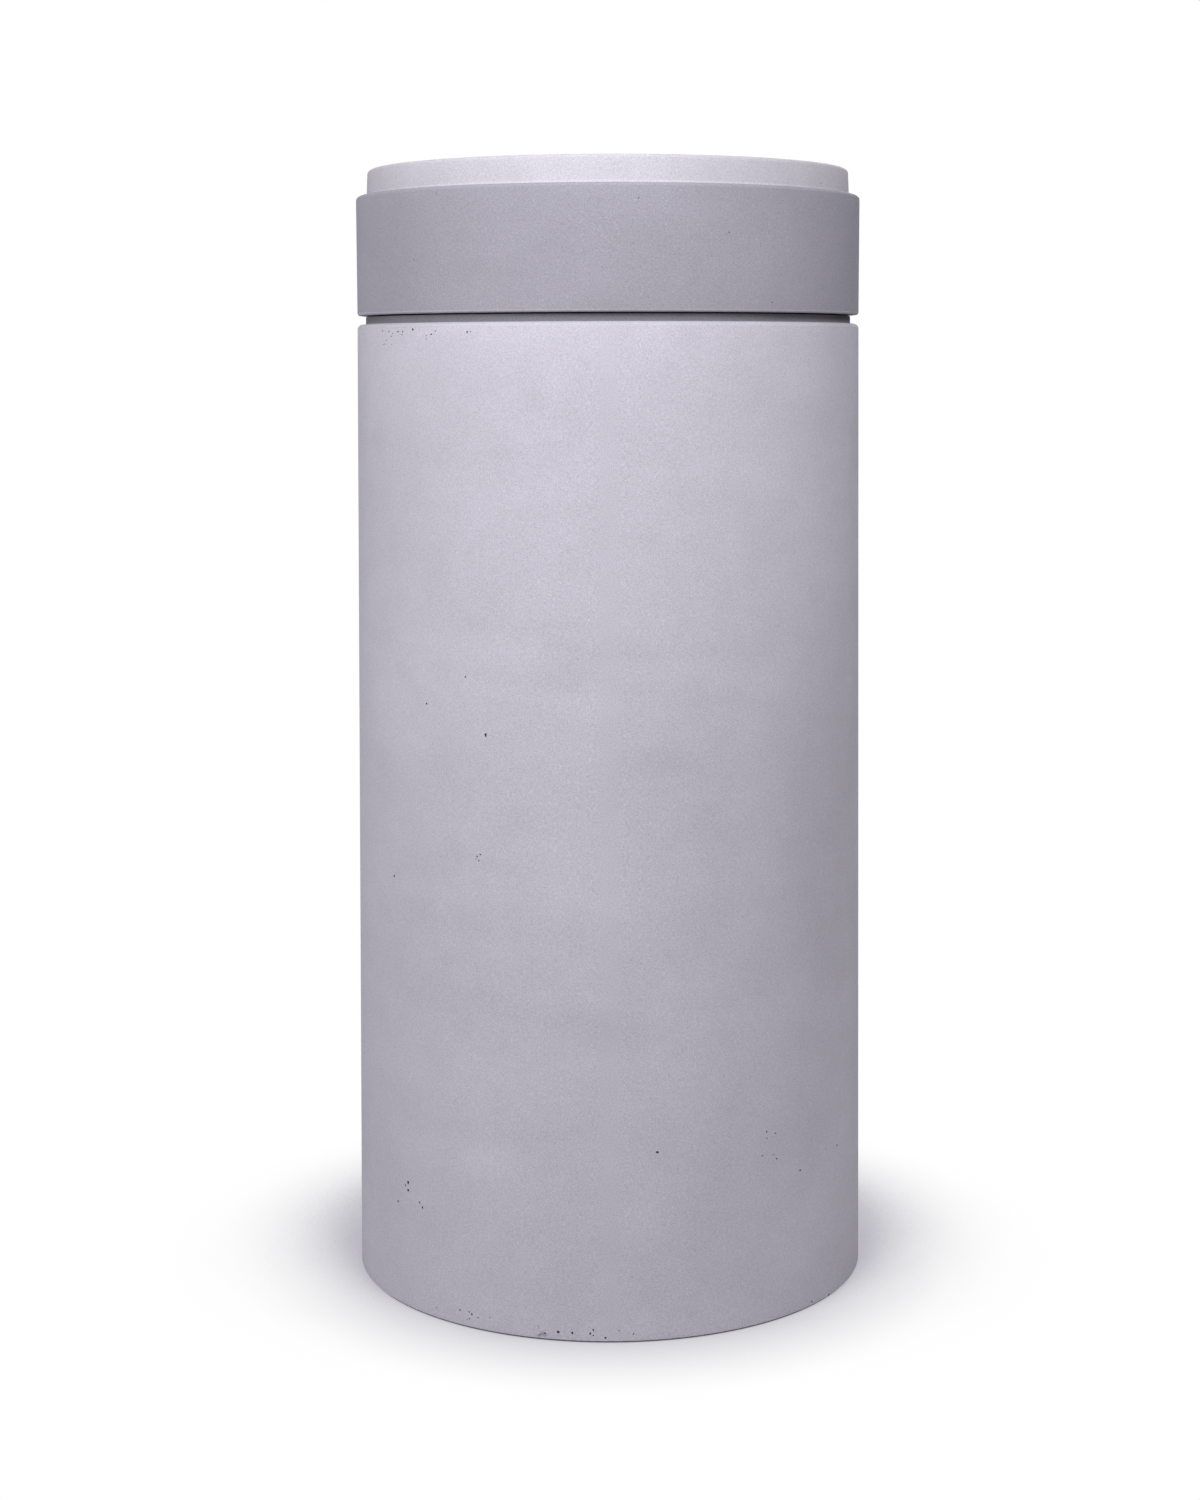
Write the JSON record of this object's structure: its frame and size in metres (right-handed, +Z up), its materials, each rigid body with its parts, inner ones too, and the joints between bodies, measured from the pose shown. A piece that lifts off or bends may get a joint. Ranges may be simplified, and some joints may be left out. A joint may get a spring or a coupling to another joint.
{
  "type": "pedestal wash basin",
  "caption": "Round concrete wash basin, its rim stepped in above a darker collar, on a hollow cylindrical column that hides its click waste, bottle trap and waste pipe.",
  "frame": {"origin": "centre of the column's foot, on the floor", "axes": "+Z up along the column's axis; +Y towards the back, where the waste pipe stands; -Y is the front"},
  "size_m": [0.4016, 0.4016, 0.87],
  "materials": {
    "concrete": "smooth cast concrete, matte, with a fine grain and small air holes",
    "dark_concrete": "smooth cast concrete, matte, a darker mix than the bowl and the column",
    "zinc_steel": "zinc plated, satin",
    "stainless_steel": "bright",
    "brass": "plain turned",
    "chromed_brass": "polished chrome on brass",
    "rubber": "matte black",
    "white_plastic": "moulded, low gloss",
    "grey_plastic": "moulded, satin"
  },
  "bodies": {
    "column_body": {"column": "concrete", "threaded_inserts": "brass", "floor_brackets": "zinc_steel", "bracket_washers": "zinc_steel", "bracket_bolts": "zinc_steel", "setting_pads": "rubber", "trap_body": "white_plastic", "trap_inlet_nut": "white_plastic", "trap_inlet_seal": "rubber", "trap_outlet_nut": "white_plastic", "trap_outlet_seal": "rubber", "waste_elbow": "grey_plastic", "elbow_seal": "rubber", "waste_pipe": "grey_plastic", "pipe_socket_seal": "rubber", "pipe_clip": "grey_plastic", "clip_screw": "zinc_steel", "wall_plug": "grey_plastic"},
    "basin_body": {"bowl": "concrete", "collar": "dark_concrete", "waste_body": "chromed_brass", "waste_flange_gasket": "rubber", "waste_rubber_washer": "rubber", "waste_slip_ring": "white_plastic", "waste_back_nut": "brass", "cartridge_housing": "white_plastic", "plug_spring": "stainless_steel", "tail_pipe": "white_plastic", "tail_washer": "rubber", "tail_union_nut": "chromed_brass"},
    "plug_body": {"plug_cap": "chromed_brass", "plug_stem": "stainless_steel", "plug_seal": "rubber"},
    "cup_body": {"trap_cup": "white_plastic", "trap_cup_seal": "rubber"}
  },
  "joints": [
    {"name": "basin_lift", "type": "slide", "parent": "column_body", "child": "basin_body", "axis": [0, 0, 1], "range_m": [0, 0.25]},
    {"name": "plug_press", "type": "slide", "parent": "basin_body", "child": "plug_body", "axis": [0, 0, -1], "range_m": [0, 0.009], "deforming": ["plug_spring"]},
    {"name": "trap_cup_drop", "type": "slide", "parent": "column_body", "child": "cup_body", "axis": [0, 0, -1], "range_m": [0, 0.06]}
  ]
}
